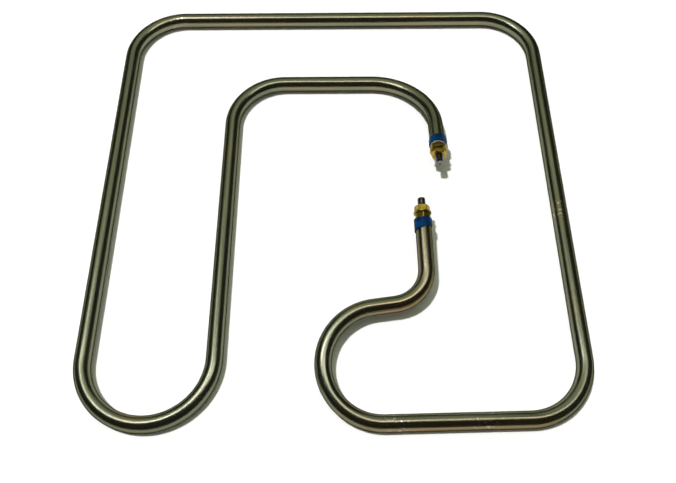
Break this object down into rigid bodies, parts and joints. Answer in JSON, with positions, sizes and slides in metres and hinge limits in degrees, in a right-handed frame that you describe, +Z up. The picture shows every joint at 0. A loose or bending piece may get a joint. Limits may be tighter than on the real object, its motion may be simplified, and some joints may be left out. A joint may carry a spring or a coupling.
{
  "type": "tubular heating element",
  "caption": "Sheathed tubular heating element bent into a flat open serpentine, with lifted ends that face each other and carry threaded studs with brass nuts.",
  "frame": {"origin": "middle of the flat frame of tube, on the surface it lies on", "axes": "+Z up out of the plane of the serpentine; +Y from the U-bend and the loop towards the long top run; +X from the U-bend towards the loop"},
  "size_m": [0.24, 0.25, 0.0174],
  "materials": {
    "sheath_steel": "drawn stainless tube, satin along its length, with light handling marks",
    "stud_steel": "dark oxidised steel thread with worn crests",
    "brass": "machined brass, slightly dulled",
    "blue_wrap": "blue insulating tape, smooth, with a lifted lap",
    "bush_ceramic": "unglazed white steatite",
    "seal_resin": "cured sealing resin",
    "magnesia": "packed white magnesium oxide powder",
    "coil_alloy": "resistance wire, oxidised",
    "pin_steel": "plain drawn steel"
  },
  "bodies": {
    "root": {"sheath": "sheath_steel", "magnesia_filling": "magnesia", "magnesia_core": "magnesia", "resistance_coil": "coil_alloy", "cold_pin_a": "pin_steel", "terminal_stud_a": "stud_steel", "end_seal_a": "seal_resin", "ceramic_bush_a": "bush_ceramic", "sealing_wrap_a": "blue_wrap", "inner_nut_a": "brass", "washer_a": "brass", "outer_nut_a": "brass", "cold_pin_b": "pin_steel", "terminal_stud_b": "stud_steel", "end_seal_b": "seal_resin", "ceramic_bush_b": "bush_ceramic", "sealing_wrap_b": "blue_wrap", "inner_nut_b": "brass", "washer_b": "brass", "outer_nut_b": "brass"}
  },
  "joints": []
}
